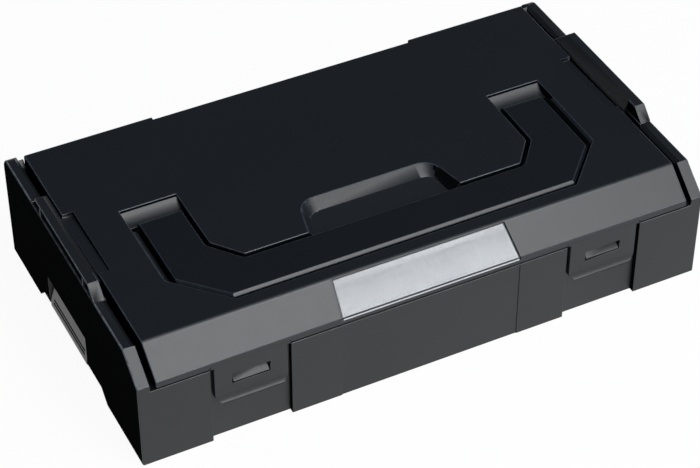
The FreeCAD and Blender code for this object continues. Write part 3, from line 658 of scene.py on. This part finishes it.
@dataclass
class Lid:
    """Lid shell, with stiffening ribs and pin marks on its underside."""

    rounding: EdgeRounding = EdgeRounding(0.30 * MM)
    plastic: MouldedPlastic = MouldedPlastic("lid_black", (0.0053, 0.0069, 0.0094), 0.38, Grain.SATIN, highlight_and_wear_gain=9.0)
    # Darker, nearly mirror-free copy of the lid plastic on sideways faces and steep recess walls: painted shade.
    ends: MouldedPlastic = MouldedPlastic("lid_black_matt_painted_shade", (0.0026, 0.0031, 0.0038), 0.80, Grain.SATIN, 0.001,
                                          highlight_and_wear_gain=14.0)
    recess_half: float = 100.5 * MM
    recess_front: float = -54.2 * MM
    recess_rear: float = 16.2 * MM
    recess_floor: float = 46.0 * MM
    wall: float = 2.2 * MM
    rib_thickness: float = 1.2 * MM
    rib_height: float = 4.0 * MM
    rib_pitch: float = 22.0 * MM
    rib_sunk: float = 0.2 * MM
    rib_front: float = 18.4 * MM
    rib_rear: float = 63.0 * MM
    rib_count: int = 10
    mark_span: float = 24.0 * MM
    mark_rise: float = 0.5 * MM
    end_slope: float = 0.9
    away_slope: float = -0.5
    wall_slope: float = 0.3

    def takes_shade_and_highlight_finish(self, middle: Vector, normal: Vector) -> bool:
        """Whether a face takes the darker matt finish, painted shade: the lid's ends, and the steep walls in the
        handle recess.

        Args:
            middle: Middle of the face.
            normal: Normal of the face.

        Returns:
            True for a matt face.
        """
        inside = (abs(middle.x) < self.recess_half and self.recess_front < middle.y < self.recess_rear
                  and middle.z > self.recess_floor)
        steep = normal.x < self.away_slope or abs(normal.z) < self.wall_slope
        return abs(normal.x) > self.end_slope or (inside and steep)

    def build(self, ribs: RibRow, marks: PinMarks) -> None:
        """Makes the rounded lid and the detail under it.

        Args:
            ribs: Tree for the stiffening ribs.
            marks: Tree for the pin marks.
        """
        material = self.plastic.material()
        shell = self.rounding.shell("lid", "lid_shell", material, self.ends.material(), self.takes_shade_and_highlight_finish)
        stand_in(shell, "lid", "lid")
        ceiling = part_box("lid")[1].z - self.wall
        middle = (self.rib_front + self.rib_rear) / 2
        first = -self.rib_pitch * (self.rib_count - 1) / 2
        level = ceiling + self.rib_sunk - self.rib_height / 2
        grown = ribs.grow("lid_ribs", material, Count=self.rib_count, First=(first, middle, level),
                          Step=(self.rib_pitch, 0.0, 0.0), Taper=(0.35, 0.0, 0.0),
                          Size=(self.rib_thickness, self.rib_rear - self.rib_front, self.rib_height))
        add_grown(grown, "lid")
        spots = marks.grow("lid_pin_marks", material, Columns=self.rib_count - 1, Rows=2,
                           Middle=(0.0, middle, ceiling), Span_X=self.rib_pitch * (self.rib_count - 2),
                           Span_Y=self.mark_span, Rise=self.mark_rise)
        add_grown(spots, "lid")


@dataclass
class CarryHandle:
    """Fold-flat handle with a ribbed grip under its bar."""

    rounding: EdgeRounding = EdgeRounding(0.30 * MM)
    plastic: MouldedPlastic = MouldedPlastic("handle_black", (0.0030, 0.0041, 0.0058), 0.36, Grain.SATIN, highlight_and_wear_gain=10.0)
    grip_count: int = 23
    grip_pitch: float = 2.4 * MM
    grip_front: float = -48.5 * MM
    grip_rear: float = -37.5 * MM
    grip_height: float = 0.9 * MM
    grip_thickness: float = 1.1 * MM
    grip_sunk: float = 0.2 * MM
    bar_bottom: float = 48.8 * MM

    def build(self, ribs: RibRow) -> None:
        """Makes the rounded handle and its grip.

        Args:
            ribs: Tree for the grip ribs.
        """
        material = self.plastic.material()
        shell = self.rounding.shell("carry_handle", "handle_bar", material)
        stand_in(shell, "carry_handle", "handle")
        first = -self.grip_pitch * (self.grip_count - 1) / 2
        under = self.bar_bottom + self.grip_sunk - self.grip_height / 2
        grown = ribs.grow("handle_grip", material, Count=self.grip_count,
                          First=(first, (self.grip_front + self.grip_rear) / 2, under),
                          Step=(self.grip_pitch, 0.0, 0.0), Taper=(0.45, 0.08, 0.0),
                          Size=(self.grip_thickness, self.grip_rear - self.grip_front, self.grip_height))
        add_grown(grown, "handle")


@dataclass
class Latches:
    """The two spring latches at the front."""

    rounding: EdgeRounding = EdgeRounding(0.30 * MM)
    plastic: MouldedPlastic = MouldedPlastic("latch_black", (0.0066, 0.0076, 0.0090), 0.42, Grain.SPARK)

    def build(self) -> None:
        """Makes both rounded latches."""
        material = self.plastic.material()
        for side in ("left", "right"):
            name = "latch_" + side
            stand_in(self.rounding.shell(name, name + "_tongue", material), name, name)


@dataclass
class StackClips:
    """The stacking clips in the ends of the tray."""

    rounding: EdgeRounding = EdgeRounding(0.25 * MM)
    plastic: MouldedPlastic = MouldedPlastic("clip_black", (0.008, 0.009, 0.011), 0.22, Grain.POLISHED, 0.22)

    def build(self) -> None:
        """Makes both rounded clips."""
        material = self.plastic.material()
        for side in ("left", "right"):
            piece = self.rounding.shell("stack_clip_" + side, "clip_" + side + "_plate", material)
            stand_in(piece, "stack_clip_" + side, "clip_" + side)


@dataclass
class LabelField:
    """Silver label card under its clear window, with a pale silver strip along the window's folded lower edge as a
    painted highlight.
    """

    card: SilverCard = SilverCard("label_silver_card", (0.62, 0.63, 0.65), (0.46, 0.47, 0.49))
    window: ClearWindow = ClearWindow("label_clear_window", 0.05)
    # Pale strip along the window's folded lower edge: painted highlight.
    edge_highlight: SilverCard = SilverCard("label_edge_painted_highlight", (0.66, 0.67, 0.69), (0.52, 0.53, 0.55))
    edge_highlight_size: Triple = (80.8 * MM, 0.15 * MM, 0.55 * MM)
    edge_highlight_middle: Triple = (0.0, -72.925 * MM, 42.08 * MM)

    def build(self, ribs: RibRow) -> None:
        """Dresses the card and the window and lays a pale silver strip along the window's folded edge as a painted
        highlight.

        Args:
            ribs: Tree for the painted highlight strip, a row of one.
        """
        dress_node("label_card", self.card.material())
        dress_node("label_window", self.window.material())
        highlight_strip = ribs.grow("label_edge_highlight_strip", self.edge_highlight.material(), Count=1, First=self.edge_highlight_middle,
                         Size=self.edge_highlight_size, Taper=(0.0, 0.0, 0.0))
        add_grown(highlight_strip, "lid")


@dataclass
class Bins:
    """Loose bins that make the compartments, with pin marks on their floors."""

    rounding: EdgeRounding = EdgeRounding(0.30 * MM)
    plastic: MouldedPlastic = MouldedPlastic("bin_grey", (0.40, 0.41, 0.42), 0.42, Grain.FINE, 0.5, 0.05,
                                             0.02, 1.1, 0.34)
    names: tuple[str, ...] = ("small_bin_1", "small_bin_2", "small_bin_3", "small_bin_4",
                              "medium_bin_left", "medium_bin_right", "long_bin")
    floor: float = 1.4 * MM
    mark_share: float = 0.55
    mark_pitch: float = 50.0 * MM
    mark_rise: float = 0.4 * MM

    def build(self, marks: PinMarks) -> None:
        """Makes the rounded bins and the marks on their floors.

        Args:
            marks: Tree for the pin marks.
        """
        material = self.plastic.material()
        for name in self.names:
            shell = self.rounding.shell(name, name + "_shell", material)
            stand_in(shell, name, "base")
            low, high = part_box(name)
            middle = ((low.x + high.x) / 2, (low.y + high.y) / 2, low.z + self.floor)
            columns = max(2, round((high.x - low.x) / self.mark_pitch) + 1)
            spots = marks.grow(name + "_marks", material, Columns=columns, Middle=middle,
                               Span_X=(high.x - low.x) * self.mark_share,
                               Span_Y=(high.y - low.y) * self.mark_share, Rise=self.mark_rise)
            add_grown(spots, "base")


@dataclass
class Lamp:
    """One soft rectangular lamp aimed at the box."""

    name: str
    direction: Triple
    distance: float
    size: tuple[float, float]
    power: float
    colour: Colour = (1.0, 1.0, 1.0)

    def build(self, target: Vector) -> None:
        """Hangs the lamp.

        Args:
            target: Point that it faces.
        """
        data = bpy.data.lights.new(self.name, "AREA")
        data.shape = "RECTANGLE"
        data.size, data.size_y = self.size
        data.energy = self.power
        data.color = self.colour
        lamp = bpy.data.objects.new(self.name, data)
        aim = Vector(self.direction).normalized()
        lamp.location = target + aim * self.distance
        lamp.rotation_euler = aim.to_track_quat("Z", "Y").to_euler()
        bpy.context.scene.collection.objects.link(lamp)
        LOG.info("lamp %s at %s", self.name, tuple(round(c, 3) for c in lamp.location))


@dataclass
class Studio:
    """Wide white floor with a low far rim, soft lamps, dim surroundings and the camera."""

    target: Triple = (-7.39 * MM, -12.81 * MM, 28.0 * MM)
    eye: Triple = (-340.4 * MM, -674.6 * MM, 672.5 * MM)
    lens: float = 118.45
    sensor: float = 36.0
    floor_profile: tuple[tuple[float, float], ...] = ((0.8, 0.0), (3.0, 0.0), (12.0, 0.0), (12.6, 0.4), (12.9, 1.6))
    rounds: int = 96
    floor_white: Colour = (0.80, 0.80, 0.80)
    near_glow: float = 0.94
    far_glow: float = 1.0
    room_front: Triple = (0.0, -0.92, 0.38)
    room_dim: Colour = (0.070, 0.088, 0.112)
    room_pale: Colour = (0.42, 0.43, 0.44)
    lamps: tuple[Lamp, ...] = (
        Lamp("key_softbox", (0.22, -0.58, 0.75), 1.7, (1.3, 1.1), 26.5, (0.97, 0.985, 1.0)),
        Lamp("front_fill", (0.20, -0.90, 0.36), 2.0, (1.6, 0.9), 6.5, (0.97, 0.985, 1.0)),
        Lamp("overhead", (0.20, -0.20, 0.96), 2.0, (1.2, 1.0), 8.0, (0.95, 0.98, 1.0)),
    )

    def build(self) -> None:
        """Builds floor, lamps, surroundings and camera."""
        self.build_floor()
        for lamp in self.lamps:
            lamp.build(Vector(self.target))
        self.build_surroundings()
        self.build_camera()
        bpy.context.scene.view_settings.view_transform = "Standard"

    def build_floor(self) -> None:
        """Makes the round floor and its far rim."""
        work = bmesh.new()
        rings = []
        for radius, height in self.floor_profile:
            rings.append([work.verts.new((radius * math.cos(math.tau * i / self.rounds),
                                          radius * math.sin(math.tau * i / self.rounds), height))
                          for i in range(self.rounds)])
        work.faces.new(rings[0])
        for low, high in zip(rings, rings[1:]):
            for i in range(self.rounds):
                j = (i + 1) % self.rounds
                work.faces.new((low[i], low[j], high[j], high[i])).smooth = True
        mesh = bpy.data.meshes.new("studio_floor")
        work.to_mesh(mesh)
        work.free()
        mesh.materials.append(self.floor_material())
        floor = bpy.data.objects.new("studio_floor", mesh)
        bpy.context.scene.collection.objects.link(floor)

    def floor_material(self) -> bpy.types.Material:
        """Builds the floor's white, which glows a little where it is seen or mirrored.

        Returns:
            The node material.
        """
        material, wiring = new_material("floor_white")
        path = wiring.add("ShaderNodeLightPath")
        seen = wiring.add("ShaderNodeMath", {"operation": "MAXIMUM"},
                          {0: path.outputs["Is Camera Ray"], 1: path.outputs["Is Glossy Ray"]}).outputs[0]
        shown = wiring.add("ShaderNodeMath", {"operation": "MAXIMUM"},
                           {0: seen, 1: path.outputs["Is Transmission Ray"]}).outputs[0]
        away = wiring.add("ShaderNodeVectorMath", {"operation": "LENGTH"},
                          {0: wiring.places()}).outputs["Value"]
        glowing = wiring.spread(away, self.near_glow, self.far_glow, 0.4, 2.5)
        share = wiring.add("ShaderNodeMath", {"operation": "MULTIPLY"}, {0: shown, 1: glowing}).outputs[0]
        matt = wiring.add("ShaderNodeBsdfDiffuse", None, {"Color": opaque(self.floor_white)})
        glow = wiring.add("ShaderNodeEmission", None, {"Color": (1.0, 1.0, 1.0, 1.0), "Strength": 1.0})
        wiring.finish(wiring.add("ShaderNodeMixShader", None,
                                 {0: share, 1: matt.outputs[0], 2: glow.outputs[0]}))
        return material

    def build_surroundings(self) -> None:
        """Sets a dim bluish room, darker behind the box than in front of it."""
        world = bpy.data.worlds.new("studio_room")
        bpy.context.scene.world = world
        world.use_nodes = True
        wiring = Wiring(world.node_tree)
        way = wiring.add("ShaderNodeTexCoord").outputs["Generated"]
        facing = wiring.add("ShaderNodeVectorMath", {"operation": "DOT_PRODUCT"},
                            {0: way, 1: self.room_front}).outputs["Value"]
        level = wiring.spread(facing, 0.0, 1.0, 0.3, 1.0)
        colour = wiring.blend(level, opaque(self.room_dim), opaque(self.room_pale))
        room = wiring.add("ShaderNodeBackground", None, {"Color": colour, "Strength": 1.0})
        wiring.finish(room, "ShaderNodeOutputWorld")

    def build_camera(self) -> None:
        """Places the camera at the photograph's angle."""
        data = bpy.data.cameras.new("camera")
        data.lens = self.lens
        data.sensor_width = self.sensor
        data.sensor_fit = "HORIZONTAL"
        camera = bpy.data.objects.new("camera", data)
        camera.location = self.eye
        aim = Vector(self.eye) - Vector(self.target)
        camera.rotation_euler = aim.to_track_quat("Z", "Y").to_euler()
        bpy.context.scene.collection.objects.link(camera)
        bpy.context.scene.camera = camera


def main() -> None:
    """Builds every sub-assembly and the studio."""
    logging.basicConfig(level=logging.INFO, format="%(name)s: %(message)s")
    ribs, marks = RibRow(), PinMarks()
    Tray().build()
    Lid().build(ribs, marks)
    CarryHandle().build(ribs)
    Latches().build()
    StackClips().build()
    LabelField().build(ribs)
    Bins().build(marks)
    Studio().build()


if __name__ == "__main__":
    main()
